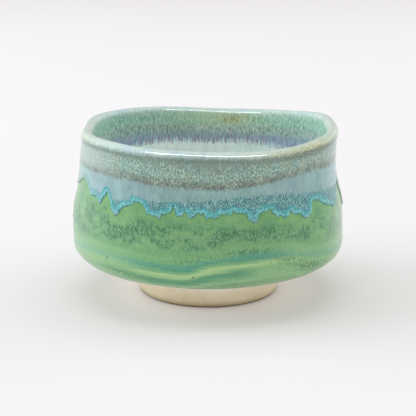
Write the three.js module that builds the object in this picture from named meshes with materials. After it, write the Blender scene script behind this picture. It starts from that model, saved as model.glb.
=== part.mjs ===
// A hand-thrown matcha bowl: rounded-square plan, thick lip, glazed in layers, bare clay foot.
// Millimetres, +Z up. The origin is on the wheel's axis, at the level the foot stands on.
// An angle of -90 degrees is the bowl's front. Every solid is a closed section turned round the axis,
// and then eased out of round by shaped(), as the potter's hands do.

import * as THREE from "three";

// Driving dimensions
const LIP_HEIGHT = 72; // where the wall ends and the lip's round top begins
const GLAZE_LINE_HEIGHT = 14.1; // where the outer glazes stop above the foot
const UNDERSIDE_HEIGHT = 10; // flat underside of the body, on which the foot is turned
const FOOT_GAP = 0.3; // between the foot ring and the underside
const OUTER_GLAZE = 0.45; // thickness of each of the two outer glazes
const LINER_GLAZE = 0.35; // thickness of the pale glaze inside
const STREAK_GLAZE = 0.3; // thickness of the streaked glaze over the liner
const GAP = 0.15; // between one layer and the next
const JOIN = 69.6; // height where the wall glazes meet the lip glaze
const ROUND_STEPS = 48; // steps round the axis on plain layers
const RAGGED_STEPS = 144; // steps round the axis on the ragged blue glaze
const LIP_STEPS = 6; // steps over the top of the lip
const WALL_STEPS = 16; // steps along each wall curve
const HANG_STEPS = 5; // steps down a layer with a ragged edge

// How far the finished bowl is from round and level
const SQUARE_START = 11.5; // height where the plan begins to leave the round
const SQUARE_EASE = 0.12; // share of the wall over which it does
const SQUARE_AT_FOOT = -0.003; // how far the corners stand out, as a share of the radius
const SQUARE_AT_LIP = 0.029;
const FLAT_AT_LIP = -0.009; // how far the corners and the sides are flattened
const CORNER_AT_FOOT = 28; // direction of a corner in degrees
const CORNER_AT_LIP = 45;
const LEAN_START = 54; // height where the wall begins to lean to the right
const LEAN_AT_LIP = 0.5; // how far it has moved at the lip
const WAVE_START = 18; // height where the wall begins to wave
const WAVE_TILT = 0.2; // rise of the lip to the right
const WAVE_SKEW = -0.1;
const WAVE_SADDLE = 1.3; // rise of the lip at both sides, and its dip at the front and back
const WAVE_THIRD = 0.6;

// The clay wall's outside, from the foot's shoulder up to the lip: [radius, height]
const OUTSIDE = [
  [37.5, UNDERSIDE_HEIGHT],
  [46.2, GLAZE_LINE_HEIGHT],
  [55.5, 17.5],
  [59.4, 22.1],
  [59.85, 30.5],
  [59.5, 41],
  [57.2, 52],
  [56.5, 62],
  [56.5, LIP_HEIGHT],
];

// The clay wall's inside, from the lip down to the middle of the well: [radius, height]
const INSIDE = [
  [53.5, LIP_HEIGHT],
  [53.2, 62],
  [54, 52],
  [54.9, 41],
  [54.6, 31],
  [51, 23.5],
  [40.5, 18],
  [22, 15.3],
  [0, 14.6],
];

// The foot ring's section: [radius, height]
const FOOT = [
  [26.6, 0],
  [30.7, 0],
  [31.3, 0.6],
  [32.2, UNDERSIDE_HEIGHT - FOOT_GAP],
  [25.2, UNDERSIDE_HEIGHT - FOOT_GAP],
  [26, 0.6],
];

// Lower edge of the blue glaze, which hangs in lobes: [angle, height] where it turns
const BLUE_EDGE = [
  [-178, 47.5], [-174, 49.8], [-170, 51], [-163, 52.3], [-157.5, 54.8], [-153.6, 56], [-148.8, 52.3],
  [-147.5, 50], [-144.5, 50.8], [-141.5, 50], [-140, 47.9], [-137.6, 51], [-135.4, 53.8], [-134, 51.3],
  [-132.2, 48], [-130, 45.1], [-128.2, 46], [-127.3, 48.4], [-125.4, 49.4], [-122.2, 50.8],
  [-119.8, 52.1], [-117.2, 51.4], [-115.8, 49], [-113.8, 47.5], [-111.8, 47.2], [-109.6, 46.8],
  [-108.4, 48.1], [-106.6, 48.4], [-105.4, 49.6], [-104.5, 51.1], [-103.4, 49], [-102.2, 47.5],
  [-100.8, 48.2], [-99.8, 49.2], [-98.4, 48.6], [-97, 47], [-95.8, 48.2], [-94, 49.1], [-92.2, 49.1],
  [-91.2, 47.8], [-90.2, 46.8], [-89, 48.1], [-87.2, 47.1], [-85.8, 48.5], [-84.6, 49.2], [-82.8, 49.1],
  [-81.4, 48.5], [-80.4, 50.1], [-79, 49.8], [-77.4, 49.2], [-75.6, 49.6], [-74.2, 47.1],
  [-72.4, 45.3], [-70.8, 46.2], [-69.8, 48.5], [-67.8, 49.5], [-65, 50], [-63.6, 48.1], [-61.6, 46.8],
  [-59.8, 46.5], [-58, 45.5], [-56.8, 46.9], [-55.8, 47.8], [-53.4, 46.4], [-50.6, 45.9], [-48.4, 43.8],
  [-46.2, 44.1], [-44.8, 46.5], [-43.6, 49.5], [-41.4, 50.2], [-38.6, 49], [-35.4, 47.2], [-31.6, 45.7],
  [-26.8, 44.4], [-23.4, 44.6], [-17, 50.5], [-13, 52.5], [-8, 47], [-3, 39.5], [4, 37.6], [9, 42],
  [12, 49],
];

// The same edge round the back, where tips and notches alternate with an uneven rhythm
const BACK_START = 17;
const BACK_STEPS = 44;
const BACK_STEP = 3.7;
const BACK_TIP = 46.6;
const BACK_NOTCH = 50.2;
for (let i = 0; i < BACK_STEPS; i++) {
  const angle = BACK_START + BACK_STEP * i + 0.9 * Math.sin(1.9 * i);
  const height = i % 2 ? BACK_NOTCH + 1.3 * Math.sin(1.7 * i) : BACK_TIP + 1.5 * Math.sin(2.3 * i);
  BLUE_EDGE.push([angle, height]);
}

// Lower edge of the streaked band inside: a slow wave with short runs
const STREAK_EDGE = 56.4;
const STREAK_WAVE = -1.2;
const STREAK_RUNS = 0.5;

const radians = THREE.MathUtils.degToRad;
const closed = (points) => [...points, points[0].clone()];
const curveOf = (points) => new THREE.SplineCurve(points.map(([r, z]) => new THREE.Vector2(r, z)));
const outside = curveOf(OUTSIDE);
const inside = curveOf(INSIDE);

// Point at t along a wall curve, moved out of the clay by distance
function layered(curve, t, distance) {
  const along = curve.getTangent(t);
  const out = new THREE.Vector2(along.y, -along.x).multiplyScalar(distance);
  const point = curve.getPoint(t).add(out);
  point.x = Math.max(point.x, 0);
  return point;
}

// Where a wall curve passes a height, found by halving. rising is true on the outside.
function whereAt(curve, height, rising) {
  let low = 0;
  let high = 1;
  for (let i = 0; i < 30; i++) {
    const middle = (low + high) / 2;
    const below = curve.getPoint(middle).y < height;
    if (below === rising) low = middle;
    else high = middle;
  }
  return (low + high) / 2;
}

// Stops along a wall curve that every plain layer shares, so that the layers nest
function sharedStops(from, to) {
  const stops = [from];
  for (let i = 0; i <= WALL_STEPS; i++) {
    const t = i / WALL_STEPS;
    if (t > from && t < to) stops.push(t);
  }
  return [...stops, to];
}

// The same number of stops however long the stretch is
function evenStops(from, to) {
  const stops = [];
  for (let i = 0; i <= HANG_STEPS; i++) stops.push(THREE.MathUtils.lerp(from, to, i / HANG_STEPS));
  return stops;
}

// A closed section between two faces of a layer, each given as a distance out of the clay
function layerSection(curve, stops, [inner, outer]) {
  const outerFace = stops.map((t) => layered(curve, t, outer));
  const innerFace = stops.map((t) => layered(curve, t, inner)).reverse();
  return closed([...outerFace, ...innerFace]);
}

// Points on the lip's arc over the top, from outside to inside, both ends included
function arc(centre, radius) {
  const points = [];
  for (let i = 0; i <= LIP_STEPS; i++) {
    const angle = (Math.PI * i) / LIP_STEPS;
    points.push(new THREE.Vector2(centre + radius * Math.cos(angle), LIP_HEIGHT + radius * Math.sin(angle)));
  }
  return points;
}

// Moves a turned point to where it is on the finished bowl: the plan grows squarer towards the lip and
// turns a little, and the lip dips at the front and back
function shaped(angle, radius, height) {
  const { clamp, lerp } = THREE.MathUtils;
  const up = clamp((height - SQUARE_START) / (LIP_HEIGHT - SQUARE_START), 0, 1.1);
  const corner = angle - radians(lerp(CORNER_AT_FOOT, CORNER_AT_LIP, up));
  const square = Math.min(up / SQUARE_EASE, 1) * lerp(SQUARE_AT_FOOT, SQUARE_AT_LIP, up);
  const plan = 1 + square * Math.cos(4 * corner) + FLAT_AT_LIP * up * Math.cos(8 * corner);
  const rise = clamp((height - WAVE_START) / (LIP_HEIGHT - WAVE_START), 0, 1.1);
  const tilt = WAVE_TILT * Math.cos(angle) + WAVE_SKEW * Math.sin(2 * angle);
  const dip = WAVE_SADDLE * Math.cos(2 * angle) + WAVE_THIRD * Math.cos(3 * angle);
  const lean = clamp((height - LEAN_START) / (LIP_HEIGHT - LEAN_START), 0, 1.1);
  const r = radius * plan;
  const x = r * Math.cos(angle) + LEAN_AT_LIP * lean * lean;
  return [x, r * Math.sin(angle), height + rise * rise * (tilt + dip)];
}

// Height of a ragged edge at an angle, on a smooth curve that turns only at the edge's own points
function raggedHeight(edge, angle) {
  const turn = 360;
  const point = (i) => {
    const laps = Math.floor(i / edge.length);
    const [degrees, height] = edge[i - laps * edge.length];
    return [degrees + laps * turn, height];
  };
  const slopeAfter = (i) => (point(i + 1)[1] - point(i)[1]) / (point(i + 1)[0] - point(i)[0]);
  const slopeAt = (i) => {
    const before = slopeAfter(i - 1);
    const after = slopeAfter(i);
    return before * after > 0 ? (2 * before * after) / (before + after) : 0;
  };
  const start = edge[0][0];
  const at = THREE.MathUtils.euclideanModulo(THREE.MathUtils.radToDeg(angle) - start, turn) + start;
  let i = 0;
  while (point(i + 1)[0] <= at) i++;
  const width = point(i + 1)[0] - point(i)[0];
  const share = (at - point(i)[0]) / width;
  const ease = share * share * (3 - 2 * share);
  const bend = share * (1 - share) * ((1 - share) * slopeAt(i) - share * slopeAt(i + 1));
  return THREE.MathUtils.lerp(point(i)[1], point(i + 1)[1], ease) + width * bend;
}

// A closed solid: the section may differ from angle to angle, with the same number of points
function turned(name, sectionAt, steps, material) {
  const lathe = new THREE.LatheGeometry(sectionAt(0), steps);
  const position = lathe.getAttribute("position");
  const count = sectionAt(0).length;
  for (let step = 0; step <= steps; step++) {
    const angle = (2 * Math.PI * (step % steps)) / steps;
    sectionAt(angle).forEach((point, i) => {
      position.setXYZ(step * count + i, ...shaped(angle, point.x, point.y));
    });
  }
  lathe.computeVertexNormals();
  const mesh = new THREE.Mesh(lathe, material);
  mesh.name = name;
  return mesh;
}

const finish = (color, roughness) => new THREE.MeshStandardMaterial({ color, roughness, metalness: 0 });

const outsideJoin = whereAt(outside, JOIN, true);
const insideJoin = whereAt(inside, JOIN, false);
const glazeLine = 1 / (OUTSIDE.length - 1);
const clayLipRadius = (OUTSIDE.at(-1)[0] - INSIDE[0][0]) / 2;
const clayLipCentre = (OUTSIDE.at(-1)[0] + INSIDE[0][0]) / 2;

// Each layer's inner and outer faces, as distances out of the clay
const GREEN = [GAP, GAP + OUTER_GLAZE];
const BLUE = [GREEN[1] + GAP, GREEN[1] + GAP + OUTER_GLAZE];
const LINER = [GAP, GAP + LINER_GLAZE];
const STREAKS = [LINER[1] + GAP, LINER[1] + GAP + STREAK_GLAZE];

// Thrown body: underside, outer wall, lip, inner wall and well
function clayBody() {
  const wall = (curve) => sharedStops(0, 1).map((t) => layered(curve, t, 0));
  const section = [
    new THREE.Vector2(0, UNDERSIDE_HEIGHT),
    ...wall(outside).slice(0, -1),
    ...arc(clayLipCentre, clayLipRadius),
    ...wall(inside).slice(1),
  ];
  return turned("clay_body", () => section, ROUND_STEPS, finish(0xd2cab4, 0.8));
}

// Turned foot, luted under the body
function footRing() {
  const section = closed(FOOT.map(([r, z]) => new THREE.Vector2(r, z)));
  return turned("foot_ring", () => section, ROUND_STEPS, finish(0xcec6ae, 0.85));
}

// First glaze outside, from the glaze line to the lip
function greenGlaze() {
  const section = layerSection(outside, sharedStops(glazeLine, outsideJoin), GREEN);
  return turned("green_glaze_coat", () => section, ROUND_STEPS, finish(0x6f9c71, 0.2));
}

// Second glaze outside, hanging from the lip to its ragged edge
function blueGlaze() {
  const sectionAt = (angle) => {
    const edge = whereAt(outside, raggedHeight(BLUE_EDGE, angle), true);
    return layerSection(outside, evenStops(edge, outsideJoin), BLUE);
  };
  return turned("blue_glaze_overlap", sectionAt, RAGGED_STEPS, finish(0x84a3a0, 0.2));
}

// Pale thick glaze over the lip, down to where the wall glazes begin
function lipGlaze() {
  const outerEnd = whereAt(outside, JOIN + GAP, true);
  const innerEnd = whereAt(inside, JOIN + GAP, false);
  const faceRadius = clayLipRadius + (BLUE[1] + STREAKS[1]) / 2;
  const faceCentre = clayLipCentre + (BLUE[1] - STREAKS[1]) / 2;
  const section = closed([
    layered(outside, outerEnd, BLUE[1]),
    ...arc(faceCentre, faceRadius),
    layered(inside, innerEnd, STREAKS[1]),
    layered(inside, innerEnd, GAP),
    ...arc(clayLipCentre, clayLipRadius + GAP).reverse(),
    layered(outside, outerEnd, GAP),
  ]);
  return turned("lip_glaze", () => section, ROUND_STEPS, finish(0xc3d0c4, 0.15));
}

// Liner glaze of the inside wall and the well
function linerGlaze() {
  const stops = sharedStops(insideJoin, 1);
  const section = [
    ...stops.map((t) => layered(inside, t, LINER[0])).reverse(),
    ...stops.map((t) => layered(inside, t, LINER[1])),
  ];
  return turned("inner_pale_glaze", () => section, ROUND_STEPS, finish(0xbdd0ce, 0.15));
}

// Second glaze inside, over the liner, down to its running lower edge
function streakGlaze() {
  const sectionAt = (angle) => {
    const wave = STREAK_WAVE * Math.sin(3 * angle) + STREAK_RUNS * Math.sin(7 * angle);
    const edge = whereAt(inside, STREAK_EDGE + wave, false);
    return layerSection(inside, evenStops(insideJoin, edge), STREAKS);
  };
  return turned("inner_streak_band", sectionAt, ROUND_STEPS, finish(0x7b8985, 0.2));
}

const bowl = new THREE.Group();
bowl.name = "matcha_bowl";
bowl.add(clayBody(), footRing(), greenGlaze(), blueGlaze(), lipGlaze(), linerGlaze(), streakGlaze());

export default bowl;
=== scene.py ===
import math

import bpy
import numpy as np
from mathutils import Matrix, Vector


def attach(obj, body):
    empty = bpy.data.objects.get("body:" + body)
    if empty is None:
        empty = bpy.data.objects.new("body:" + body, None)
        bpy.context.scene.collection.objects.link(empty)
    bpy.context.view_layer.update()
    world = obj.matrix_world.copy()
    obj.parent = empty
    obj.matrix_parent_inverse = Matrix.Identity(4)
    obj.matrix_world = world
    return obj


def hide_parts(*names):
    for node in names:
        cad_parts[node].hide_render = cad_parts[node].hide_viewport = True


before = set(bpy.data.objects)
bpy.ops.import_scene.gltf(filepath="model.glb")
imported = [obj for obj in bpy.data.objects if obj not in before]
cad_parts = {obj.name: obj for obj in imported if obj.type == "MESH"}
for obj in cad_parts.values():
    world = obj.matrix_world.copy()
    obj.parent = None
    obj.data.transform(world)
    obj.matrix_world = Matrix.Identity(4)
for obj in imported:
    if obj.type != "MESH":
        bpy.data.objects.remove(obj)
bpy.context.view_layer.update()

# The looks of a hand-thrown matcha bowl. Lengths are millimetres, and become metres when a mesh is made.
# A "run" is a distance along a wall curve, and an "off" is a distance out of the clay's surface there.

MM = 0.001

# ---------------------------------------- sizes shared with the CAD part

LIP_HEIGHT = 72  # where the wall ends and the lip's round top begins
GLAZE_LINE_HEIGHT = 14.1  # where the outer glazes stop above the foot
UNDERSIDE_HEIGHT = 10  # flat underside of the body, on which the foot is turned
JOIN = 69.6  # height where the wall glazes meet the lip glaze
OUTER_GLAZE = 0.45  # thickness of each of the two outer glazes
LINER_GLAZE = 0.35  # thickness of the pale glaze inside
STREAK_GLAZE = 0.3  # thickness of the streaked glaze over the liner
GAP = 0.15  # between the layers of the CAD part; here the layers lap instead
GREEN_OFF = GAP + OUTER_GLAZE  # outer face of each layer
BLUE_OFF = GREEN_OFF + GAP + OUTER_GLAZE
LINER_OFF = GAP + LINER_GLAZE
STREAK_OFF = LINER_OFF + GAP + STREAK_GLAZE
STREAK_EDGE = 56.4  # height where the streaks inside end
STREAK_WAVE = -1.2  # heights of the three and of the seven waves of that edge round the bowl
STREAK_RUNS = 0.5

# How far the finished bowl is from round and level
SQUARE_START = 11.5  # height where the plan begins to leave the round
SQUARE_EASE = 0.12  # share of the wall over which it does
SQUARE_AT_FOOT = -0.003  # how far the corners stand out, as a share of the radius
SQUARE_AT_LIP = 0.029
FLAT_AT_LIP = -0.009  # how far the corners and the sides are flattened
CORNER_AT_FOOT = 28  # direction of a corner in degrees
CORNER_AT_LIP = 45
LEAN_START = 54  # height where the wall begins to lean to the right
LEAN_AT_LIP = 0.5  # how far it has moved at the lip
WAVE_START = 18  # height where the wall begins to wave
WAVE_TILT = 0.2  # rise of the lip to the right
WAVE_SKEW = -0.1
WAVE_SADDLE = 1.3  # rise of the lip at both sides, and its dip at the front and back
WAVE_THIRD = 0.6

# [radius, height] along the clay wall's outside, from the foot's shoulder up
OUTSIDE = [
    [37.5, UNDERSIDE_HEIGHT], [46.2, GLAZE_LINE_HEIGHT], [55.5, 17.5], [59.4, 22.1], [59.85, 30.5],
    [59.5, 41], [57.2, 52], [56.5, 62], [56.5, LIP_HEIGHT],
]

# [radius, height] along its inside, from the lip down to the middle of the well
INSIDE = [
    [53.5, LIP_HEIGHT], [53.2, 62], [54, 52], [54.9, 41], [54.6, 31], [51, 23.5], [40.5, 18], [22, 15.3],
    [0, 14.6],
]
CLAY_LIP_RADIUS = (OUTSIDE[-1][0] - INSIDE[0][0]) / 2
CLAY_LIP_CENTRE = (OUTSIDE[-1][0] + INSIDE[0][0]) / 2

# ---------------------------------------- sizes of the looks alone

FRONT = -90  # degrees
FOOT_RADIUS = 28.6  # middle of the ring that the bowl stands on
GREEN_HIDDEN = 57  # height above which the blue glaze hides the green one all round
LIP_SKIRT = 2  # how far the lip glaze laps over the wall glazes
LIP_GLAZE_RADIUS = CLAY_LIP_RADIUS + (BLUE_OFF + STREAK_OFF) / 2
LIP_GLAZE_CENTRE = CLAY_LIP_CENTRE + (BLUE_OFF - STREAK_OFF) / 2

# Mesh columns round each piece
BODY_COLUMNS = 360
FOOT_COLUMNS = 540
LINER_COLUMNS = 540
LIP_COLUMNS = 720
GREEN_COLUMNS = 1080
STREAK_COLUMNS = 1440
BLUE_COLUMNS = 2160
EDGE_STEPS = 4320  # samples of the blue glaze's edge round the bowl, two or more to a column
EDGE_REACH = 5  # furthest distance from the edge that is worked out
FLOW_RADIUS = 58  # the unrolled wall's radius, for distances round the bowl

# Lower edge of the blue glaze, which hangs in lobes: [angle, height] where it turns, as in the CAD part.
# Not a model to follow: the points from -153.6 to -26.8 are a table that another program made, from points
# read off the photo.
BLUE_EDGE = [
    [-178, 47.5], [-174, 49.8], [-170, 51], [-163, 52.3], [-157.5, 54.8], [-153.6, 56], [-148.8, 52.3],
    [-147.5, 50], [-144.5, 50.8], [-141.5, 50], [-140, 47.9], [-137.6, 51], [-135.4, 53.8], [-134, 51.3],
    [-132.2, 48], [-130, 45.1], [-128.2, 46], [-127.3, 48.4], [-125.4, 49.4], [-122.2, 50.8],
    [-119.8, 52.1], [-117.2, 51.4], [-115.8, 49], [-113.8, 47.5], [-111.8, 47.2], [-109.6, 46.8],
    [-108.4, 48.1], [-106.6, 48.4], [-105.4, 49.6], [-104.5, 51.1], [-103.4, 49], [-102.2, 47.5],
    [-100.8, 48.2], [-99.8, 49.2], [-98.4, 48.6], [-97, 47], [-95.8, 48.2], [-94, 49.1], [-92.2, 49.1],
    [-91.2, 47.8], [-90.2, 46.8], [-89, 48.1], [-87.2, 47.1], [-85.8, 48.5], [-84.6, 49.2], [-82.8, 49.1],
    [-81.4, 48.5], [-80.4, 50.1], [-79, 49.8], [-77.4, 49.2], [-75.6, 49.6], [-74.2, 47.1],
    [-72.4, 45.3], [-70.8, 46.2], [-69.8, 48.5], [-67.8, 49.5], [-65, 50], [-63.6, 48.1], [-61.6, 46.8],
    [-59.8, 46.5], [-58, 45.5], [-56.8, 46.9], [-55.8, 47.8], [-53.4, 46.4], [-50.6, 45.9], [-48.4, 43.8],
    [-46.2, 44.1], [-44.8, 46.5], [-43.6, 49.5], [-41.4, 50.2], [-38.6, 49], [-35.4, 47.2], [-31.6, 45.7],
    [-26.8, 44.4], [-23.4, 44.6], [-17, 50.5], [-13, 52.5], [-8, 47], [-3, 39.5], [4, 37.6], [9, 42],
    [12, 49],
]
BACK_START = 17
BACK_STEPS = 44
BACK_STEP = 3.7
BACK_TIP = 47
BACK_NOTCH = 49.6
for i in range(BACK_STEPS):  # the same edge round the back, where tips and notches alternate
    back_angle = BACK_START + BACK_STEP * i + 0.9 * math.sin(1.9 * i) + 0.6 * math.sin(4.3 * i)
    notch = BACK_NOTCH + 1.9 * math.sin(1.7 * i)
    tip = BACK_TIP + 1.7 * math.sin(2.3 * i)
    BLUE_EDGE.append([back_angle, notch if i % 2 else tip])

# ---------------------------------------- where the colours of the glazes change

# [angle, height] of the lower limit of the mottled band under the lip
MOTTLE_EDGE = [
    [-173, 61.5], [-147, 60.4], [-134, 60.3], [-123, 60.4], [-113, 59.5], [-100, 58.9], [-88, 58.6],
    [-73, 60], [-58, 61.7], [-45, 62.5], [-29, 61.3], [0, 63], [40, 60.5], [80, 63], [120, 60.5],
    [158, 63],
]
# [angle, height] of the line under which the blue glaze is dark and speckled
DARK_EDGE = [
    [-172, 50], [-133, 51], [-114, 53.1], [-104, 53.4], [-92, 54.4], [-84, 55.3], [-73, 56.4],
    [-62, 56.1], [-52, 54.7], [-41, 53.6], [-33, 52.8], [-20, 52], [20, 54], [60, 56.5], [100, 54.5],
    [145, 56],
]
# [angle, height] of the middle of the teal sweep low on the belly, which the other sweeps run beside.
# Its points from -139 to -46 were made the same way as those of BLUE_EDGE.
SWEEP = [
    [-168, 26.5], [-139, 28.6], [-125, 28.2], [-113, 27.3], [-101, 26.8], [-87, 30.3], [-74, 31.6],
    [-59, 31.3], [-46, 28.2], [-20, 26], [20, 28], [55, 30.5], [90, 27], [130, 29.5], [165, 27],
]
# [strength, angle, its spread, height above the teal sweep, its spread] of the dusky patches beside it
DUSK = [
    [0.8, -74, 10, 1.9, 1.4], [0.7, -42, 11, -5.5, 2], [0.7, -128, 9, -6.5, 1.7],
    [0.5, -96, 9, 2.4, 1.2], [0.3, -47, 14, -3.8, 3], [0.4, -62, 9, -3, 1.2],
]
# [angle, height, radius] of the pinholes in the green glaze and in the blue edge
PINHOLES = [
    [-134, 26.7, 0.45], [-96, 22.7, 0.4], [-110.6, 49.6, 0.3], [-104.2, 51.9, 0.45], [-99.4, 50.4, 0.3],
    [-31, 36, 0.35], [28, 24, 0.4], [71, 33, 0.35], [103, 21.5, 0.45], [148, 38, 0.35],
]

# ---------------------------------------- the bowl's formulas


def spline(points, t):
    """Points at t, from 0 to 1, on the uniform Catmull-Rom curve through points"""
    points = np.asarray(points, float)
    last = len(points) - 1
    at = np.clip(np.asarray(t, float), 0, 1) * last
    i = np.minimum(np.floor(at).astype(int), last - 1)
    w = (at - i)[..., None]
    before, here = points[np.maximum(i - 1, 0)], points[i]
    after, later = points[i + 1], points[np.minimum(i + 2, last)]
    leave, arrive = (after - before) / 2, (later - here) / 2
    cubic = 2 * here - 2 * after + leave + arrive
    square = -3 * here + 3 * after - 2 * leave - arrive
    return ((cubic * w + square) * w + leave) * w + here


class Wall:
    """A wall curve of the clay, looked up by the run along it"""

    def __init__(self, points):
        self.t = np.linspace(0, 1, 6001)
        self.line = spline(points, self.t)
        step = np.gradient(self.line, axis=0)
        length = np.hypot(step[:, 0], step[:, 1])
        self.out = np.stack([step[:, 1], -step[:, 0]], -1) / length[:, None]
        gaps = np.hypot(*np.diff(self.line, axis=0).T)
        self.run = np.concatenate([[0], np.cumsum(gaps)])

    def at(self, run, off):
        """Radius and height at a run along the wall, moved out of the clay by off"""
        def look(table):
            return np.interp(run, self.run, table)
        radius = look(self.line[:, 0]) + off * look(self.out[:, 0])
        height = look(self.line[:, 1]) + off * look(self.out[:, 1])
        return np.maximum(radius, 0), height

    def run_at(self, height):
        """Run where the wall passes a height"""
        heights = self.line[:, 1]
        if heights[0] > heights[-1]:
            return np.interp(height, heights[::-1], self.run[::-1])
        return np.interp(height, heights, self.run)


outside = Wall(OUTSIDE)
inside = Wall(INSIDE)


def smooth(value, low, high):
    """0 below low, 1 above high, eased between"""
    share = np.clip((value - low) / (high - low), 0, 1)
    return share * share * (3 - 2 * share)


def hill(value, middle, width):
    """1 at the middle, falling to 0 some widths away"""
    return np.exp(-(((value - middle) / width) ** 2))


def ripple(angle, terms):
    """Sum of (height, turns, phase) waves round the bowl"""
    return sum(size * np.sin(turns * angle + phase) for size, turns, phase in terms)


def eased(points, angle):
    """Value at an angle, on a smooth curve round the bowl that turns only at the [degrees, value] points"""
    degrees, values = np.array(sorted(points), float).T
    start, count = degrees[0], len(degrees)
    widths = np.diff(np.append(degrees, start + 360))
    slopes = (np.roll(values, -1) - values) / widths
    before = np.roll(slopes, 1)
    turns = before * slopes <= 0
    at_point = np.where(turns, 0, 2 * before * slopes / np.where(turns, 1, before + slopes))
    at = (np.degrees(angle) - start) % 360 + start
    i = np.clip(np.searchsorted(degrees, at, side="right") - 1, 0, count - 1)
    after = (i + 1) % count
    share = (at - degrees[i]) / widths[i]
    ease = share * share * (3 - 2 * share)
    bend = share * (1 - share) * ((1 - share) * at_point[i] - share * at_point[after])
    return values[i] + (values[after] - values[i]) * ease + widths[i] * bend


def shaped(angle, radius, height):
    """Where a turned point is on the finished bowl, which is squarer and wavier towards the lip"""
    up = np.clip((height - SQUARE_START) / (LIP_HEIGHT - SQUARE_START), 0, 1.1)
    corner = angle - np.radians(CORNER_AT_FOOT + (CORNER_AT_LIP - CORNER_AT_FOOT) * up)
    square = SQUARE_AT_FOOT + (SQUARE_AT_LIP - SQUARE_AT_FOOT) * up
    square = np.minimum(up / SQUARE_EASE, 1) * square
    plan = 1 + square * np.cos(4 * corner) + FLAT_AT_LIP * up * np.cos(8 * corner)
    rise = np.clip((height - WAVE_START) / (LIP_HEIGHT - WAVE_START), 0, 1.1)
    tilt = WAVE_TILT * np.cos(angle) + WAVE_SKEW * np.sin(2 * angle)
    dip = WAVE_SADDLE * np.cos(2 * angle) + WAVE_THIRD * np.cos(3 * angle)
    lean = np.clip((height - LEAN_START) / (LIP_HEIGHT - LEAN_START), 0, 1.1)
    r = radius * plan
    x = r * np.cos(angle) + LEAN_AT_LIP * lean * lean
    return np.stack([x, r * np.sin(angle), height + rise * rise * (tilt + dip)], -1)


edge_angles = np.arange(EDGE_STEPS) * 2 * np.pi / EDGE_STEPS
edge_heights = eased(BLUE_EDGE, edge_angles)
edge_heights += ripple(edge_angles, [(0.16, 83, 1), (0.32, 149, 2), (0.22, 211, 0.5)])
edge_runs = outside.run_at(edge_heights)


def edge_distance(run):
    """Distance from the blue glaze's edge for a grid of runs, positive above the edge"""
    columns = run.shape[1]
    stride = EDGE_STEPS // columns
    step = 2 * np.pi * FLOW_RADIUS / EDGE_STEPS
    nearest = np.full(run.shape, EDGE_REACH, float)
    for k in range(-round(EDGE_REACH / step), round(EDGE_REACH / step) + 1):
        beside = edge_runs[(np.arange(columns) * stride + k) % EDGE_STEPS]
        nearest = np.minimum(nearest, np.hypot(k * step, run - beside))
    return np.where(run > edge_runs[::stride], nearest, -nearest)


def around(columns):
    """Angles that divide the bowl into equal columns"""
    return np.arange(columns) * 2 * np.pi / columns


def height_of(runs):
    """Height of the outside wall at each run"""
    return outside.at(runs, 0)[1]


def flow(angle, height):
    """Place on a plain cylinder, so that patterns run straight down the wall"""
    across = np.broadcast_to(angle, height.shape)
    return np.stack([FLOW_RADIUS * np.cos(across), FLOW_RADIUS * np.sin(across), height], -1)


def turned(angle):
    """Degrees round the bowl, from -180 to 180"""
    return (np.degrees(angle) + 180) % 360 - 180


def painted_sheen_of(angle):
    """1 on the left and right of the bowl, 0 at its front and back: where a painted sheen pales the glazes
    """
    degrees = turned(angle)
    left = np.maximum(smooth(degrees, -122, -152), smooth(degrees, 135, 165))
    right = smooth(degrees, -42, -20) * smooth(degrees, 55, 20)
    return np.maximum(left * (np.abs(degrees) > 100), right)


def ringed_at(angle):
    """1 where the blue glaze's edge is outlined, low on the left and right where it runs out softly"""
    degrees = turned(angle)
    return 1 - 0.9 * hill(degrees, -162, 15) - 0.95 * hill(degrees, -6, 18)


def pinholes(angle, height):
    """1 in the middle of each pinhole, falling to 0 outside it"""
    mask = np.zeros(np.broadcast_shapes(angle.shape, height.shape))
    for degrees, level, size in PINHOLES:
        turn = (angle - math.radians(degrees) + np.pi) % (2 * np.pi) - np.pi
        mask = np.maximum(mask, hill(np.hypot(turn * FLOW_RADIUS, height - level), 0, size))
    return mask


def mottle_values(angle, height):
    """The attributes that mottled_colour reads beside the height"""
    return {
        "mottle": height - eased(MOTTLE_EDGE, angle),
        "painted_sheen": painted_sheen_of(angle) + 0 * height,
        "middle": hill(turned(angle), FRONT, 17) + 0 * height,
    }


def inside_values(angle, height):
    """The attributes that streaked_colour reads beside the height: a rust patch, painted light on the
    middle of the back, and painted shade at the back left and back right
    """
    degrees = turned(angle)
    return {
        "rust": hill(degrees, 78, 8) * hill(height, JOIN, 2),
        "painted_light": hill(degrees, 86, 24) + 0 * height,
        "shade": hill(degrees, 135, 32) + 0.9 * hill(degrees, 40, 24) + 0 * height,
    }


def outer_relief(angle, height):
    """Throwing rings and the low sweeps of the finger, as an off from the plain glaze, never above it"""
    rings = 0.05 * np.sin(2 * np.pi * height / 4.7 + angle + 0.8 * np.sin(2 * angle))
    softness = ripple(angle, [(0.04, 5, 1), (0.03, 9, 2)]) * np.sin(height / 7)
    sweep = height - eased(SWEEP, angle)
    groove = 0.16 * hill(sweep, 0, 1.6) + 0.14 * hill(sweep, -6.8, 1.8)
    under_lip = 0.1 * hill(height, 69.4, 2)
    return rings + softness - groove - under_lip - 0.13 - 0.25 * pinholes(angle, height)


def rounded(distance, thickness, width):
    """Thickness of a glaze at a distance from its edge, rounded over a width"""
    share = np.clip(distance / width, 0, 1)
    return thickness * np.sqrt(1 - (1 - share) ** 2)


# ---------------------------------------- meshes


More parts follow.
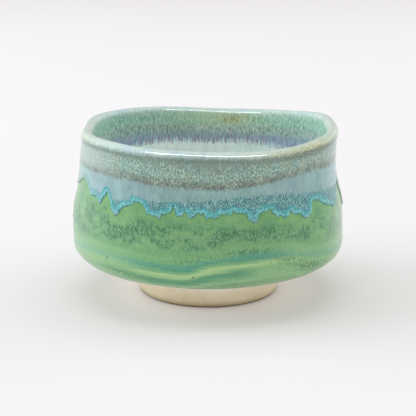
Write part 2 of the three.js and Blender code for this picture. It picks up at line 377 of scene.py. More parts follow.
def solid(name, points, values, finish, poles=False):
    """A closed mesh from a grid [along the section, round the bowl]. With poles, the first and the last
    row are single points on the axis; without, the section closes on itself."""
    rows, columns = points.shape[:2]
    index = np.arange(rows * columns).reshape(rows, columns)
    across = np.roll(index, -1, axis=1)
    if poles:
        first, last = index[0, 0], index[-1, 0]
        body = slice(1, rows - 1)
        index, across = index[body], across[body]
        quads = np.stack([index[:-1], across[:-1], across[1:], index[1:]], -1).reshape(-1, 4)
        start = np.stack([across[0], index[0], np.full(columns, first)], -1)
        end = np.stack([index[-1], across[-1], np.full(columns, last)], -1)
        faces = [*quads.tolist(), *start.tolist(), *end.tolist()]
    else:
        above, above_across = np.roll(index, -1, axis=0), np.roll(across, -1, axis=0)
        faces = np.stack([index, across, above_across, above], -1).reshape(-1, 4).tolist()
    corners = [corner for face in faces for corner in face]
    used = np.unique(corners)
    renumber = np.zeros(rows * columns, int)
    renumber[used] = np.arange(len(used))
    sizes = np.array([len(face) for face in faces])

    mesh = bpy.data.meshes.new(name)
    mesh.vertices.add(len(used))
    mesh.vertices.foreach_set("co", (points.reshape(-1, 3)[used] * MM).astype(np.float32).ravel())
    mesh.loops.add(len(corners))
    mesh.loops.foreach_set("vertex_index", renumber[corners].astype(np.int32))
    mesh.polygons.add(len(faces))
    mesh.polygons.foreach_set("loop_start", (np.cumsum(sizes) - sizes).astype(np.int32))
    mesh.update(calc_edges=True)
    mesh.shade_smooth()
    for key, grid in values.items():
        kind = "FLOAT_VECTOR" if grid.ndim == 3 else "FLOAT"
        layer = mesh.attributes.new(key, kind, "POINT")
        flat = grid.reshape(rows * columns, -1)[used].astype(np.float32).ravel()
        layer.data.foreach_set("vector" if grid.ndim == 3 else "value", flat)
    mesh.materials.append(finish)
    piece = bpy.data.objects.new(name, mesh)
    bpy.context.scene.collection.objects.link(piece)
    return piece


def stand_for(piece, node):
    """Puts the piece in the place of a CAD node, and hides that node"""
    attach(piece, "root")
    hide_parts(node)


# ---------------------------------------- finishes


def colour(code):
    """Linear colour from a #rrggbb code"""
    parts = [int(code[i:i + 2], 16) / 255 for i in (1, 3, 5)]
    return [c / 12.92 if c <= 0.04045 else ((c + 0.055) / 1.055) ** 2.4 for c in parts] + [1]


class Finish:
    """A material, with short names for the nodes that these finishes are made of"""

    def __init__(self, name):
        self.material = bpy.data.materials.new(name)
        self.material.use_nodes = True
        self.tree = self.material.node_tree
        self.shader = self.tree.nodes["Principled BSDF"]

    def node(self, kind, inputs, output=0, **settings):
        made = self.tree.nodes.new(kind)
        for key, value in settings.items():
            setattr(made, key, value)
        for key, value in inputs.items():
            if isinstance(value, bpy.types.NodeSocket):
                self.tree.links.new(value, made.inputs[key])
            else:
                made.inputs[key].default_value = value
        return made.outputs[output]

    def value(self, name):
        """The piece's own attribute of that name"""
        return self.node("ShaderNodeAttribute", {}, "Fac", attribute_name=name)

    def place(self, across, along, shift=0):
        """The flow attribute, with that many repeats a millimetre across and along the wall"""
        place = self.node("ShaderNodeAttribute", {}, "Vector", attribute_name="flow")
        scaled = self.node("ShaderNodeVectorMath", {0: place, 1: (across, across, along)},
                           operation="MULTIPLY")
        return self.node("ShaderNodeVectorMath", {0: scaled, 1: (shift, shift, shift)}, operation="ADD")

    def noise(self, place, detail=2, roughness=0.5, distortion=0):
        inputs = {"Vector": place, "Scale": 1, "Detail": detail, "Roughness": roughness,
                  "Distortion": distortion}
        return self.node("ShaderNodeTexNoise", inputs)

    def maths(self, operation, first, second):
        return self.node("ShaderNodeMath", {0: first, 1: second}, operation=operation)

    def times(self, first, second):
        return self.maths("MULTIPLY", first, second)

    def plus(self, first, second):
        return self.maths("ADD", first, second)

    def minus(self, first, second):
        return self.maths("SUBTRACT", first, second)

    def swing(self, noise, size):
        """A noise moved from the middle of its range to 0, and made that many times as large"""
        return self.times(self.minus(noise, 0.5), size)

    def between(self, value, low, high, start=0.0, end=1.0):
        """start where value is below low, end where it is above high, eased between"""
        inputs = {"Value": value, "From Min": low, "From Max": high, "To Min": start, "To Max": end}
        return self.node("ShaderNodeMapRange", inputs, interpolation_type="SMOOTHSTEP")

    def ramp(self, value, stops):
        """A colour ramp through (position, #rrggbb) stops"""
        made = self.tree.nodes.new("ShaderNodeValToRGB")
        elements = made.color_ramp.elements
        while len(elements) < len(stops):
            elements.new(0.5)
        for element, (position, code) in zip(elements, stops):
            element.position = position
            element.color = colour(code)
        self.tree.links.new(value, made.inputs[0])
        return made.outputs[0]

    def mix(self, share, under, over, blend="MIX"):
        made = self.tree.nodes.new("ShaderNodeMix")
        made.data_type = "RGBA"
        made.blend_type = blend
        for slot, value in ((0, share), (6, under), (7, over)):
            if isinstance(value, bpy.types.NodeSocket):
                self.tree.links.new(value, made.inputs[slot])
            else:
                made.inputs[slot].default_value = colour(value) if isinstance(value, str) else value
        return made.outputs[2]

    def finished(self, colour_socket, roughness, bump=None, depth=0.0001, ior=1.5):
        self.tree.links.new(colour_socket, self.shader.inputs["Base Color"])
        self.shader.inputs["IOR"].default_value = ior
        if isinstance(roughness, bpy.types.NodeSocket):
            self.tree.links.new(roughness, self.shader.inputs["Roughness"])
        else:
            self.shader.inputs["Roughness"].default_value = roughness
        if bump is not None:
            normal = self.node("ShaderNodeBump", {"Height": bump, "Distance": depth, "Strength": 1},
                               output="Normal")
            self.tree.links.new(normal, self.shader.inputs["Normal"])
        return self.material


def hare_fur(finish, shift=0):
    """Fine light and dark streaks that run down the wall"""
    long_streaks = finish.noise(finish.place(0.95, 0.3, shift), detail=3, roughness=0.65, distortion=0.3)
    return finish.between(long_streaks, 0.34, 0.66)


def mottled_colour(finish):
    """The finely mottled grey-green band under the lip, which pales upwards and has a rusty lower rim.
    Painted shade darkens it at the front and in the groove under the lip, and a painted sheen pales it on
    the left and right
    """
    grain = finish.noise(finish.place(2.5, 1.05), detail=3, roughness=0.65)
    fur = finish.between(grain, 0.3, 0.7)
    patches = finish.noise(finish.place(0.22, 0.16, 20), detail=3, roughness=0.6)
    cool = finish.ramp(fur, [(0, "#5a7d78"), (0.4, "#7d9e95"), (0.7, "#98b6aa"), (1, "#c6dbd0")])
    warm = finish.ramp(fur, [(0, "#64776b"), (0.4, "#829886"), (0.7, "#a0b6a3"), (1, "#c8dac6")])
    tone = finish.mix(finish.between(patches, 0.42, 0.62), cool, warm)
    rust = finish.ramp(fur, [(0, "#444742"), (0.5, "#646a62"), (1, "#939a8e")])
    height = finish.value("height")
    mottle = finish.value("mottle")
    middle = finish.value("middle")
    painted_sheen = finish.value("painted_sheen")
    rusty = finish.between(patches, 0.6, 0.42, 0.35, 0.85)
    tone = finish.mix(finish.times(finish.between(mottle, 0.8, 5.5, 1, 0), rusty), tone, rust)
    # Painted shade: darker at the front, just under the lip.
    tone = finish.mix(finish.times(middle, finish.between(height, 65, 68, 0, 0.4)), tone, "#66827d")
    # Painted shade in the groove under the lip, left off on the left and right.
    groove_shade = finish.times(finish.between(height, 68, 69.6, 0, 0.24), finish.minus(1, painted_sheen))
    tone = finish.mix(groove_shade, tone, "#6a8076")
    # Paler upwards towards the lip glaze, except at the front; the paling on the left and right is a
    # painted sheen.
    upper = finish.times(finish.between(height, 70, 72, 0, 0.4), finish.minus(1, middle))
    sides = finish.times(painted_sheen, finish.between(mottle, 0, 4, 0.15, 0.6))
    return finish.mix(finish.maths("MAXIMUM", upper, sides), tone, "#b7c2bd")


def blue_colour(finish, fine, fur):
    """Calm and hare-furred above, dark and speckled below, under the mottled band"""
    grain = finish.between(finish.noise(finish.place(2.7, 1.3, 61), detail=3, roughness=0.65), 0.32, 0.68)
    soft = finish.noise(finish.place(0.16, 0.1, 3), detail=2)
    slow = finish.noise(finish.place(0.035, 0.03, 50), detail=1)

    calm = finish.ramp(soft, [(0.3, "#769a98"), (0.55, "#82a8a3"), (0.75, "#90b7b2")])
    calm = finish.mix(finish.times(fur, 0.34), calm, "#b0d0ce")
    calm = finish.mix(finish.between(grain, 0.45, 0, 0, 0.3), calm, "#668c90")
    calm = finish.mix(finish.between(slow, 0.45, 0.65, 0, 0.3), calm, "#8f9fb0")
    # Painted sheen: paler on the left and right.
    calm = finish.mix(finish.times(finish.value("painted_sheen"), 0.25), calm, "#c6d8de")

    dark = finish.ramp(grain, [(0, "#2b636b"), (0.4, "#4d8589"), (0.7, "#70a3a1"), (1, "#b1d6d1")])
    plum = finish.ramp(fine, [(0.3, "#4f6c7d"), (0.5, "#6c8391"), (0.7, "#92a7ab")])
    dark = finish.mix(finish.between(soft, 0.48, 0.62, 0, 0.3), dark, plum)

    wander = finish.swing(fine, 4)
    dark_line = finish.plus(finish.value("dark"), wander)
    body = finish.mix(finish.between(dark_line, -0.9, 0.6), dark, calm)
    mottle_line = finish.plus(finish.value("mottle"), finish.times(wander, 0.6))
    return finish.mix(finish.between(mottle_line, -0.7, 1.1), body, mottled_colour(finish))


def outline_colour(finish, fine, edge):
    """The turquoise outline of the blue glaze, which is darker along both its sides"""
    blotch = finish.noise(finish.place(0.45, 0.45, 31), detail=2)
    outline = finish.ramp(finish.maths("DIVIDE", edge, 3.5), [
        (0, "#2a7377"), (0.06, "#419a98"), (0.16, "#63b9b5"), (0.4, "#55adab"), (0.54, "#357d89"),
        (0.66, "#3f7987"), (0.9, "#568992"),
    ])
    outline = finish.mix(finish.between(blotch, 0.5, 0.68, 0, 0.5), outline, "#377f8a")
    spots = finish.ramp(finish.noise(finish.place(1.5, 1.5, 90), detail=3, roughness=0.7), [
        (0.36, "#21666f"), (0.46, "#3f9da2"), (0.56, "#69bfc0"), (0.67, "#b9e1e2"),
    ])
    outline = finish.mix(0.6, outline, spots)
    pale = finish.between(fine, 0.46, 0.64, 0, 0.75)
    crest = finish.times(pale, finish.between(edge, 1.3, 0.8))
    return finish.mix(crest, outline, "#98d0d4")


def blue_finish():
    """Second glaze outside: its colour, and the outline that fades out low on the left and right"""
    finish = Finish("blue_glaze")
    fur = hare_fur(finish)
    fine = finish.noise(finish.place(1.6, 1.1, 7), detail=2, roughness=0.6)
    tip = finish.value("tip")
    ringed = finish.value("ringed")
    plain_edge = finish.value("edge")
    ragged = finish.swing(finish.noise(finish.place(1.2, 1.2, 12), detail=2), 2)
    pooled = finish.times(tip, finish.between(plain_edge, 0.3, 1.4, 0, 0.7))
    edge = finish.minus(finish.plus(plain_edge, ragged), pooled)

    body = blue_colour(finish, fine, fur)
    outlined = finish.times(finish.between(edge, 1.5, 3, 1, 0), ringed)
    body = finish.mix(outlined, body, outline_colour(finish, fine, edge))
    soft_end = finish.times(finish.between(edge, 2.2, 0.2, 0, 0.85), finish.minus(1, ringed))
    body = finish.mix(soft_end, body, "#9fb496")
    body = finish.mix(finish.times(tip, 0.3), body, "#a39bb4")
    body = finish.mix(finish.value("pinhole"), body, "#1d4a44")
    return finish.finished(body, finish.between(fine, 0.3, 0.7, 0.16, 0.26), fur, 0.00003)


def grass_colour(finish, fine, fur):
    """The belly's grass green, with clouds of dark speckle"""
    clouds = finish.noise(finish.place(0.1, 0.16, 14), detail=4, roughness=0.6)
    grass = finish.ramp(clouds, [
        (0.32, "#528a64"), (0.48, "#64996c"), (0.6, "#76a770"), (0.74, "#8bb67e"),
    ])
    speckled = finish.ramp(fine, [(0.34, "#285a40"), (0.5, "#477f56"), (0.64, "#78ab79")])
    shade = finish.times(finish.value("cloud"), finish.between(clouds, 0.57, 0.46, 0.1, 0.9))
    grass = finish.mix(shade, grass, speckled)
    return finish.mix(finish.times(fur, 0.18), grass, "#9ac79a")


def sweep_colour(finish, fine, wander):
    """The teal and yellow-green sweeps low on the belly. The ramps reach from 14 mm below the teal sweep
    to 6 mm above it."""
    sweep = finish.plus(finish.value("sweep"), wander)
    sweep = finish.plus(finish.maths("DIVIDE", sweep, 20), 0.7)
    bands = finish.ramp(sweep, [
        (0.12, "#769f74"), (0.2, "#9ac092"), (0.26, "#77a97e"), (0.31, "#57956f"), (0.4, "#599571"),
        (0.45, "#9ac086"), (0.53, "#b4d394"), (0.58, "#84b37b"), (0.65, "#489179"), (0.7, "#509a80"),
        (0.76, "#74a974"), (0.84, "#7fb179"), (0.95, "#6fa36c"),
    ])
    pale_bands = finish.ramp(sweep, [
        (0.14, "#84ac7c"), (0.24, "#98bd8b"), (0.34, "#8db483"), (0.42, "#8fb684"), (0.53, "#84ab76"),
        (0.6, "#90ba8b"), (0.67, "#7fae8c"), (0.72, "#87b485"), (0.82, "#8cb582"), (0.95, "#74a372"),
    ])
    bands = finish.mix(finish.value("faint"), bands, pale_bands)
    grained = finish.ramp(fine, [(0.28, "#3f7f5c"), (0.5, "#6aa472"), (0.72, "#97c193")])
    bands = finish.mix(0.22, bands, grained)
    dusk = finish.times(finish.value("dusk"), finish.between(fine, 0.62, 0.42))
    return finish.mix(dusk, bands, "#38704f")


def green_finish():
    """First glaze outside: grass above, sweeps below, and a brown line where it ends over the foot"""
    finish = Finish("green_glaze")
    fur = hare_fur(finish, 30)
    fine = finish.noise(finish.place(1.2, 0.8, 9), detail=3, roughness=0.65)
    brushed = finish.noise(finish.place(0.035, 0.42, 4), detail=3, roughness=0.6)
    thread = finish.noise(finish.place(0.05, 1.1, 17), detail=2)
    wander = finish.plus(finish.swing(brushed, 4.6), finish.swing(thread, 2.4))
    edge = finish.value("edge")

    above = finish.between(finish.value("sweep"), 4.2, 7)
    body = finish.mix(above, sweep_colour(finish, fine, wander), grass_colour(finish, fine, fur))
    # Painted sheen: paler and greyer on the left and right.
    body = finish.mix(finish.times(finish.value("painted_sheen"), 0.16), body, "#b3c4b0")
    lit = finish.times(finish.between(edge, 1, 4.5, 1, 0), 0.4)
    body = finish.mix(lit, body, "#80b26c")
    edged = finish.times(finish.between(edge, 0.05, 0.55, 0.7, 0), finish.value("ringed"))
    body = finish.mix(edged, body, "#3b836c")
    rim = finish.plus(finish.value("line"), finish.times(wander, 0.12))
    body = finish.mix(finish.between(rim, 0.2, 1, 0.8, 0), body, "#8b7b58")
    body = finish.mix(finish.between(finish.value("pinhole"), 0.25, 0.7), body, "#4a3a22")
    return finish.finished(body, finish.between(fine, 0.3, 0.7, 0.17, 0.27), fur, 0.00002)


def lip_finish():
    """Pale mint with ochre and iron specks, fading into the glazes below it on both sides, over a painted
    shadow under its outer roll
    """
    finish = Finish("lip_glaze")
    soft = finish.noise(finish.place(0.12, 0.2, 60), detail=2)
    fine = finish.noise(finish.place(1.2, 0.9, 66), detail=2, roughness=0.6)
    specks = finish.noise(finish.place(1.1, 1.4, 80), detail=1)
    pale = finish.ramp(soft, [(0.3, "#bad2cc"), (0.5, "#c7dad4"), (0.7, "#b5d0d6")])
    pale = finish.mix(finish.between(fine, 0.45, 0.7, 0, 0.3), pale, "#d9e7dd")
    ochre = finish.ramp(fine, [(0.3, "#aea762"), (0.6, "#d8d690")])
    pale = finish.mix(finish.times(finish.value("ochre"), 0.9), pale, ochre)

    wander = finish.swing(fine, 2.4)
    outer_line = finish.plus(finish.value("outer"), wander)
    # Painted shadow: a dark band on the wall glaze just under the lip's roll.
    dark = finish.times(finish.between(outer_line, -2.8, -1), 0.62)
    under = finish.mix(dark, mottled_colour(finish), "#5f786c")
    body = finish.mix(finish.between(outer_line, -0.8, 1.5), under, pale)
    inner_line = finish.plus(finish.value("inner"), wander)
    body = finish.mix(finish.between(inner_line, 1.9, 0.4), body, streaked_colour(finish))
    iron = finish.times(finish.between(specks, 0.52, 0.6), finish.value("iron"))
    body = finish.mix(iron, body, "#5b4a30")
    return finish.finished(body, finish.between(fine, 0.3, 0.7, 0.08, 0.14), fine, 0.00001, ior=1.6)


def streaked_colour(finish):
    """The streaks inside: green under the lip, then grey-green, then blue and violet runs"""
    fur = finish.between(finish.noise(finish.place(1.5, 0.5, 40), detail=3, roughness=0.65), 0.3, 0.7)
    thin = finish.noise(finish.place(1.5, 0.15, 44), detail=3, roughness=0.65)
    depth = finish.plus(finish.minus(LIP_HEIGHT, finish.value("height")), finish.swing(fur, 2.4))
    zones = finish.ramp(finish.maths("DIVIDE", depth, 18), [
        (0, "#bddccb"), (0.1, "#8fc6a4"), (0.25, "#92c6a8"), (0.36, "#95a398"), (0.48, "#9ba89f"),
        (0.58, "#a9bdb2"), (0.7, "#97afc2"), (0.85, "#a6adc9"), (1, "#c4cbd8"),
    ])
    flecks = finish.ramp(fur, [(0.05, "#44665f"), (0.5, "#a3c4b6"), (0.95, "#f6fdf9")])
    zones = finish.mix(0.5, zones, flecks)
    # Painted light high on the middle of the back wall; its yellow-green is partly the glaze's own.
    sun = finish.times(finish.value("painted_light"), finish.between(depth, 2, 9, 0.5, 0))
    zones = finish.mix(sun, zones, "#c2cfa6")
    zones = finish.mix(finish.times(finish.value("rust"), 0.6), zones, "#b9b27a")
    iron = finish.times(finish.between(fur, 0.55, 0.2), finish.value("rust"))
    zones = finish.mix(finish.times(iron, 0.6), zones, "#7b5f45")
    # Painted shade: darker at the back left and back right inside.
    zones = finish.mix(finish.times(finish.value("shade"), 0.3), zones, "#4a7466")
    runs = finish.ramp(thin, [
        (0.3, "#3b446f"), (0.42, "#7291b0"), (0.5, "#a9bfcf"), (0.56, "#7f557c"), (0.62, "#a694ba"),
        (0.72, "#cdd8e0"),
    ])
    return finish.mix(finish.between(depth, 8.2, 12, 0, 0.85), zones, runs)


def streak_finish():
    """The streaks, with maroon tips that fade into the liner"""
    finish = Finish("streak_glaze")
    thin = finish.noise(finish.place(1.5, 0.15, 44), detail=3, roughness=0.65)
    edge = finish.value("edge")
    maroon = finish.times(finish.between(thin, 0.48, 0.6), finish.between(edge, 4, 1))
    body = finish.mix(finish.times(maroon, 0.6), streaked_colour(finish), "#8f6580")
    end = finish.plus(edge, finish.swing(thin, 9))
    body = finish.mix(finish.between(end, 2.6, 0.2, 0, 0.8), body, "#dde9ea")
    return finish.finished(body, 0.2, thin, 0.00003)


def liner_finish():
    """Pale glaze, streaked on the wall and a little bluer where it pools in the well"""
    finish = Finish("pale_glaze")
    thin = finish.noise(finish.place(0.6, 0.05, 53), detail=3, roughness=0.6)
    soft = finish.noise(finish.place(0.05, 0.12, 57), detail=2)
    height = finish.value("height")
    pool = finish.ramp(finish.maths("DIVIDE", height, 70), [
        (0.2, "#cde6e1"), (0.27, "#d6ebe7"), (0.4, "#e8f5f1"), (0.6, "#f4fbf5"), (0.75, "#fafefb"),
    ])
    streaks = finish.ramp(thin, [(0.35, "#dde5ea"), (0.5, "#eef6f0"), (0.65, "#fafcf8")])
    body = finish.mix(finish.between(height, 26, 48, 0.05, 0.5), pool, streaks)
    body = finish.mix(finish.between(soft, 0.5, 0.7, 0, 0.25), body, "#a9d0c9")
    return finish.finished(body, 0.14, soft, 0.00004)


def clay_finish(name, light, middle, dark, contact_shade=0.0):
    """Bare clay. Painted shade, by the given share, darkens it towards the level the bowl stands on,
    darkest in a contact shadow at the bottom edge.
    """
    finish = Finish(name)
    place = finish.node("ShaderNodeTexCoord", {}, "Object")
    grain = finish.node("ShaderNodeTexNoise", {
        "Vector": place, "Scale": 1400, "Detail": 4, "Roughness": 0.7,
    })
    cloud = finish.node("ShaderNodeTexNoise", {"Vector": place, "Scale": 90, "Detail": 3})
    body = finish.ramp(cloud, [(0.35, dark), (0.5, middle), (0.65, light)])
    body = finish.mix(finish.between(grain, 0.35, 0.65, 0, 0.35), body, light)
    body = finish.mix(finish.between(grain, 0.66, 0.74, 0, 0.5), body, "#8a7654")
    # Painted shade: darker towards the level the bowl stands on, darkest in a contact shadow at the bottom
    # edge.
    height = finish.node("ShaderNodeSeparateXYZ", {"Vector": place}, "Z")
    contact_shade_ramp = finish.ramp(finish.times(height, 100), [
        (0, "#3f2f1a"), (0.06, "#6e5c40"), (0.14, "#b9ae98"), (0.3, "#dcd6c9"), (0.7, "#efece6"),
        (1, "#ffffff"),
    ])
    body = finish.mix(contact_shade, body, contact_shade_ramp, "MULTIPLY")
    return finish.finished(body, finish.between(grain, 0.3, 0.7, 0.75, 0.92), grain, 0.00006)


# ---------------------------------------- pieces


def make_green():
    """First glaze outside: a rounded bead at the glaze line, then over the sweeps up to the lip"""
    angle = around(GREEN_COLUMNS)[None, :]
    start = outside.run_at(GLAZE_LINE_HEIGHT) + ripple(angle, [(0.18, 3, 1), (0.12, 7, 2), (0.08, 16, 0)])
    shown = outside.run_at(GREEN_HIDDEN)
    end = outside.run_at(JOIN)
    bead = start + np.array([0, 0.04, 0.12, 0.25, 0.42, 0.65, 0.95])[:, None]
    share = np.linspace(0, 1, 112)[1:, None]
    belly = bead[-1] + (shown - bead[-1]) * share
    hidden = shown + (end - shown) * np.linspace(0, 1, 8)[1:, None] + 0 * angle
    run = np.concatenate([bead, belly, hidden])
    height = height_of(run)
    thickness = rounded(run - start + 0.02, GREEN_OFF, 0.75) + 0.12 * hill(run - start, 1.3, 0.8)
    relief = outer_relief(angle, height) * smooth(run - start, 0, 3) * smooth(end - run, 0, 2)
    back = run[::-12]
    runs = np.concatenate([run, back])
    offs = np.concatenate([thickness + relief, np.full(back.shape, -0.12)])
    radius, level = outside.at(runs, offs)
    edge = -edge_distance(runs)
    sweep = height_of(runs) - eased(SWEEP, angle)
    degrees = turned(angle)
    speckled_top = 45 + 5 * hill(degrees, -138, 20)
    speckled = smooth(height_of(runs), 31, 36) * smooth(speckled_top - height_of(runs), 0, 4)
    speckled = speckled * (1 - 0.6 * hill(degrees, -20, 18))
    faint = np.maximum(0.75 * smooth(degrees, -112, -128), 0.7 * smooth(degrees, -70, -52))
    dusk = sum(size * hill(degrees, at, wide) * hill(sweep, above, tall)
               for size, at, wide, above, tall in DUSK)
    values = {
        "flow": flow(angle, level),
        "dusk": dusk,
        "edge": edge,
        "sweep": sweep,
        "cloud": speckled,
        "faint": np.maximum(faint, smooth(degrees, -80, -67) * smooth(sweep, -4.5, -6)),
        "painted_sheen": painted_sheen_of(angle) + 0 * runs,
        "ringed": ringed_at(angle) + 0 * runs,
        "line": runs - start,
        "pinhole": pinholes(angle, height_of(runs)),
    }
    points = shaped(angle, radius, level)
    stand_for(solid("green_coat", points, values, green_finish()), "green_glaze_coat")


def make_blue():
    """Second glaze outside: it hangs from the lip to a ragged, beaded edge that stands on the green"""
    angle = around(BLUE_COLUMNS)[None, :]
    start = edge_runs[::EDGE_STEPS // BLUE_COLUMNS][None, :]
    end = outside.run_at(JOIN)
    run = start + (end - start) * np.linspace(0, 1, 66)[:, None] ** 1.7
    distance = edge_distance(run)
    thickness = rounded(distance + 0.01, BLUE_OFF - GREEN_OFF - 0.08, 0.55) + 0.1 * hill(distance, 1, 0.7)
    relief = outer_relief(angle, height_of(run))
    thickness = np.where(run == start, -0.06, thickness)
    back = run[::-13]
    runs = np.concatenate([run, back])
    offs = np.concatenate([GREEN_OFF + relief + thickness, np.full(back.shape, GREEN_OFF - 0.35)])
    radius, level = outside.at(runs, offs)
    height = height_of(runs)
    window = BLUE_COLUMNS // 36 + 1  # ten degrees, over which the edge's mean is taken
    padded = np.concatenate([start[0], start[0], start[0]])
    mean = np.convolve(padded, np.ones(window) / window, mode="same")[BLUE_COLUMNS:2 * BLUE_COLUMNS]
    values = {
        "flow": flow(angle, level),
        "height": height,
        "edge": edge_distance(runs),
        **mottle_values(angle, height),
        "dark": height - eased(DARK_EDGE, angle),
        "tip": smooth(mean[None, :] - runs, 0.5, 1.7),
        "ringed": ringed_at(angle) + 0 * height,
        "pinhole": pinholes(angle, height),
    }
    points = shaped(angle, radius, level)
    stand_for(solid("hanging_blue", points, values, blue_finish()), "blue_glaze_overlap")


def lip_section(angle):
    """Radius and height round the lip glaze: up the outside, over the top, down the inside, and back
    through the clay's lip"""
    steps = np.linspace(0, 1, 15)[:, None]
    outer_join, inner_join = outside.run_at(JOIN), inside.run_at(JOIN)
    top = outside.run[-1]
    up = outer_join - LIP_SKIRT + (LIP_SKIRT + top - outer_join) * steps[:-1] + 0 * angle
    outer_off = BLUE_OFF - 0.06 * smooth(top - up, 0, 2) - 0.12 * smooth(outer_join - up, 0, LIP_SKIRT)
    outer_off = outer_off + outer_relief(angle, height_of(up)) * smooth(top - up, 0.3, 2.2)
    over = np.linspace(0, np.pi, 25)[:, None] + 0 * angle
    waves = ripple(angle, [(0.04, 4, 1), (0.03, 11, 2)])
    swell = LIP_GLAZE_RADIUS + 0.03 - 0.11 * np.sin(over) + waves * np.sin(over)
    down = (inner_join + LIP_SKIRT) * steps[1:] + 0 * angle
    inner_off = STREAK_OFF + 0.03 - 0.2 * smooth(down - inner_join, 0, LIP_SKIRT)
    through = np.linspace(np.pi, 0, 9)[:, None] + 0 * angle
    core = CLAY_LIP_RADIUS - 0.1
    section = [
        outside.at(up, outer_off),
        (LIP_GLAZE_CENTRE + swell * np.cos(over), LIP_HEIGHT + swell * np.sin(over)),
        inside.at(down, inner_off),
        inside.at(down[-1:], 0.3),
        (CLAY_LIP_CENTRE + core * np.cos(through), LIP_HEIGHT + core * np.sin(through)),
        outside.at(up[:1], 0.3),
    ]
    radii, heights = zip(*section)
    return np.concatenate(radii), np.concatenate(heights)


def make_lip():
    """Thick pale glaze over the lip. Its skirts thin out on the wall glazes, so that no seam shows."""
    angle = around(LIP_COLUMNS)[None, :]
    radius, height = lip_section(angle)
    is_outer = radius > LIP_GLAZE_CENTRE
    far_above = LIP_HEIGHT + 9  # keeps the colours of one side of the lip off the other
    on_outside = np.where(is_outer, height, far_above)
    on_inside = np.where(is_outer, far_above, height)
    degrees = turned(angle)
    ochre = hill(degrees, -42, 26) + 0.6 * hill(degrees, -158, 14) + 0.5 * hill(degrees, 95, 18)
    low = hill(height, LIP_HEIGHT - 0.5, 2.2) * is_outer
    values = {
        "flow": flow(angle, height),
        "height": height,
        "outer": on_outside - LIP_HEIGHT,
        "inner": on_inside - LIP_HEIGHT,
        "ochre": ochre * (0.2 + 0.7 * low),
        "iron": hill(degrees, -46, 15) * hill(height, 70.9, 2.2) * is_outer,
        **inside_values(angle, on_inside),
        **mottle_values(angle, on_outside),
    }
    points = shaped(angle, radius, height)
    stand_for(solid("lip_roll", points, values, lip_finish()), "lip_glaze")


def make_streaks():
    """Second glaze inside: it runs down from the lip and ends in fine drips over the liner"""
    angle = around(STREAK_COLUMNS)[None, :]
    wave = STREAK_WAVE * np.sin(3 * angle) + STREAK_RUNS * np.sin(7 * angle)
    drips = ripple(angle, [(0.25, 61, 1), (0.3, 97, 2), (0.35, 151, 0), (0.4, 233, 1)])
    end = inside.run_at(STREAK_EDGE + wave + drips)
    start = inside.run_at(JOIN)
    run = start + (end - start) * (1 - np.linspace(1, 0, 58)[:, None] ** 1.5)
    thickness = rounded(end - run, STREAK_OFF - LINER_OFF, 0.5) + 0.08 * hill(end - run, 1, 0.7)
    rings = 0.05 * np.sin(2 * np.pi * inside.at(run, 0)[1] / 5.1 - angle)
    offs = LINER_OFF + thickness + rings * smooth(run - start, 0, 3)
    offs[-1] = LINER_OFF - 0.1
    back = run[::-12]
    runs = np.concatenate([run, back])
    radius, height = inside.at(runs, np.concatenate([offs, np.full(back.shape, LINER_OFF - 0.3)]))
    values = {
        "flow": flow(angle, height),
        "height": height,
        "edge": end - runs,
        **inside_values(angle, height),
    }
    points = shaped(angle, radius, height)
    stand_for(solid("inner_streaks", points, values, streak_finish()), "inner_streak_band")


def make_liner():
    """Pale glaze of the inside wall and the well, with soft throwing rings"""
    angle = around(LINER_COLUMNS)[None, :]
    start = inside.run_at(JOIN)
    run = start + (inside.run[-1] - start) * np.linspace(0, 1, 96)[:, None] + 0 * angle
    spiral = 2 * np.pi * run / 6.5 - angle
    rings = 0.06 * np.sin(spiral) * smooth(run - start, 20, 28) * smooth(inside.run[-1] - run, 2, 12)
    back = run[::-9]
    runs = np.concatenate([back, run])
    offs = np.concatenate([np.full(back.shape, -0.1), LINER_OFF + rings])
    radius, height = inside.at(runs, offs)
    radius[0] = radius[-1] = 0
    spread = np.minimum(radius * 1.1 / FLOW_RADIUS, 1)[..., None] * [1, 1, 0] + [0, 0, 1]
    values = {"flow": flow(angle, height) * spread, "height": height}
    points = shaped(angle, radius, height)
    stand_for(solid("well_glaze", points, values, liner_finish(), poles=True), "inner_pale_glaze")


def make_body():
    """Thrown clay body. Only its underside shows, with the turning tool's rings."""
    angle = around(BODY_COLUMNS)[None, :]
    flat = np.linspace(0, OUTSIDE[0][0], 76)[:-1, None] + 0 * angle
    faded = smooth(flat, 1.5, 5) * smooth(flat, OUTSIDE[0][0], 34)
    rings = 0.06 * np.sin(2 * np.pi * flat / 2.3 + angle) * faded
    under = UNDERSIDE_HEIGHT + np.abs(rings)
    wall = outside.run[-1] * np.linspace(0, 1, 60)[:, None] + 0 * angle
    wall_rings = 0.04 * np.sin(2 * np.pi * wall / 1.9 + angle) * smooth(wall, 0, 2) * smooth(wall, 12, 8)
    wall_radius, wall_height = outside.at(wall, wall_rings)
    turn = np.linspace(0, np.pi, 7)[1:-1, None] + 0 * angle
    inner = inside.run[-1] * np.linspace(0, 1, 40)[:, None] + 0 * angle
    inner_radius, inner_height = inside.at(inner, 0)
    top_radius = CLAY_LIP_CENTRE + CLAY_LIP_RADIUS * np.cos(turn)
    top_height = LIP_HEIGHT + CLAY_LIP_RADIUS * np.sin(turn)
    radius = np.concatenate([flat, wall_radius, top_radius, inner_radius])
    height = np.concatenate([under, wall_height, top_height, inner_height])
    radius[-1] = 0
    points = shaped(angle, radius, height)
    finish = clay_finish("bare_clay", "#fdf9ee", "#f9f3e4", "#f1e9d6")
    stand_for(solid("thrown_body", points, {}, finish, poles=True), "clay_body")


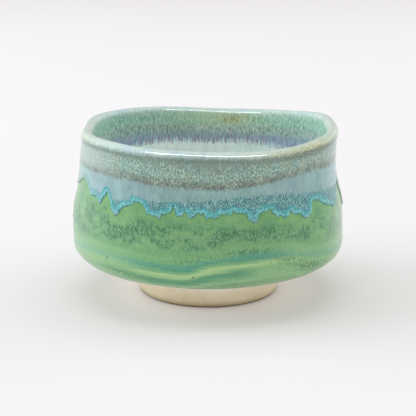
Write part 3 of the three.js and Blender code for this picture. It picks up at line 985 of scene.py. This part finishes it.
def make_foot():
    """Turned foot, with worn edges and a small fillet where it meets the body"""
    angle = around(FOOT_COLUMNS)[None, :]
    wear = ripple(angle, [(0.05, 3, 0), (0.04, 8, 1), (0.03, 17, 2)])
    outline = [
        [FOOT_RADIUS, 0], [29.9, 0.02], [30.5, 0.3], [31, 0.95], [31.45, 3], [31.8, 5.5], [32.05, 8],
        [32.3, 9.1], [33, 9.8], [34.2, 10.03], [34, 10.4], [28, 10.4], [23.4, 10.4], [23.2, 10.03],
        [24.4, 9.8], [25.2, 9.1], [25.5, 8], [25.7, 5.5], [25.9, 3], [26.1, 0.65], [26.5, 0.2],
        [27.1, 0.02], [FOOT_RADIUS, 0],
    ]
    line = spline(outline, np.linspace(0, 1, 111)[:-1])
    radius = line[:, :1] + 0 * angle
    height = np.maximum(line[:, 1:], 0) + 0 * angle
    worn = wear * smooth(height, 0.1, 1.5) * smooth(height, 9.5, 7)
    rings = 0.04 * np.sin(2 * np.pi * height / 1.1 + angle) * smooth(height, 0.8, 2) * smooth(height, 9, 8)
    outward = np.where(radius > FOOT_RADIUS, 1, -1)
    points = shaped(angle, radius + outward * (rings + worn - 0.05), height)
    # The foot carries a painted contact shadow along its lower part.
    finish = clay_finish("foot_clay", "#fbf2dd", "#f3e9d1", "#e9dec3", contact_shade=0.9)
    stand_for(solid("turned_foot", points, {}, finish), "foot_ring")


make_body()
make_foot()
make_green()
make_blue()
make_lip()
make_liner()
make_streaks()

# ---------------------------------------- stage, camera and light


def make_floor():
    """Pale paper. Its weak glow stands for the light that the tent throws back under the bowl."""
    size = 5
    mesh = bpy.data.meshes.new("floor")
    corners = [(-size, -size, 0), (size, -size, 0), (size, size, 0), (-size, size, 0)]
    mesh.from_pydata(corners, [], [(0, 1, 2, 3)])
    finish = Finish("floor_paper")
    finish.shader.inputs["Base Color"].default_value = colour("#e1dee0")
    finish.shader.inputs["Roughness"].default_value = 0.9
    finish.shader.inputs["Specular IOR Level"].default_value = 0.1
    finish.shader.inputs["Emission Color"].default_value = colour("#fffaf2")
    finish.shader.inputs["Emission Strength"].default_value = 0.11
    mesh.materials.append(finish.material)
    floor = bpy.data.objects.new("floor", mesh)
    bpy.context.scene.collection.objects.link(floor)


def make_camera():
    """Aims a little under the middle of the bowl, from its front"""
    elevation = math.radians(13.95)
    distance = 548 * MM
    middle = Vector((-0.2 * MM, 0, 39.5 * MM))
    aim = Vector((-0.2 * MM, 0, 36.7 * MM))
    lens = bpy.data.cameras.new("camera")
    lens.sensor_width = 36
    lens.lens = 106
    lens.clip_start = 0.01
    lens.clip_end = 50
    camera = bpy.data.objects.new("camera", lens)
    camera.location = middle + distance * Vector((0, -math.cos(elevation), math.sin(elevation)))
    camera.rotation_euler = (aim - camera.location).to_track_quat("-Z", "Y").to_euler()
    bpy.context.scene.collection.objects.link(camera)
    bpy.context.scene.camera = camera


COOL = "#e7f5ff"  # the lamps
WARM = "#fff4e9"  # the tent, which fills the shadows


def softbox(name, place, size, watts, glossy=False):
    """A rectangular area light that faces the bowl, and either shades it or draws a highlight on it"""
    light = bpy.data.lights.new(name, "AREA")
    light.shape = "RECTANGLE"
    light.size, light.size_y = size
    light.energy = watts
    light.color = colour(COOL)[:3]
    lamp = bpy.data.objects.new(name, light)
    lamp.location = place
    lamp.rotation_euler = (Vector((0, 0, 0.04)) - Vector(place)).to_track_quat("-Z", "Y").to_euler()
    lamp.visible_glossy = glossy
    lamp.visible_diffuse = not glossy
    bpy.context.scene.collection.objects.link(lamp)


def make_world():
    """An even, slightly warm tent"""
    world = bpy.data.worlds.new("tent")
    world.use_nodes = True
    background = world.node_tree.nodes["Background"]
    background.inputs["Color"].default_value = colour(WARM)
    background.inputs["Strength"].default_value = 0.575
    bpy.context.scene.world = world


make_floor()
make_camera()
softbox("ceiling", (0, 0.5, 3.2), (2.8, 2.8), 34)
softbox("left_wall", (-2.3, 0.2, 0.9), (2.4, 1.4), 50)
softbox("right_wall", (2.2, 0.5, 0.9), (2.4, 1.4), 26)
softbox("front_wall", (0, -2.3, 0.4), (2.4, 0.7), 7)
softbox("left_highlight", (-0.392, -0.522, 0.956), (0.6, 0.3), 10.5, glossy=True)
softbox("right_highlight", (0.208, -0.588, 0.973), (0.7, 0.26), 8.5, glossy=True)
softbox("left_sheen", (-2.2, 2, 0.75), (3.2, 1.4), 5, glossy=True)
softbox("right_sheen", (2.2, 2, 0.75), (3.2, 1.4), 5, glossy=True)
make_world()
bpy.context.scene.view_settings.view_transform = "Standard"
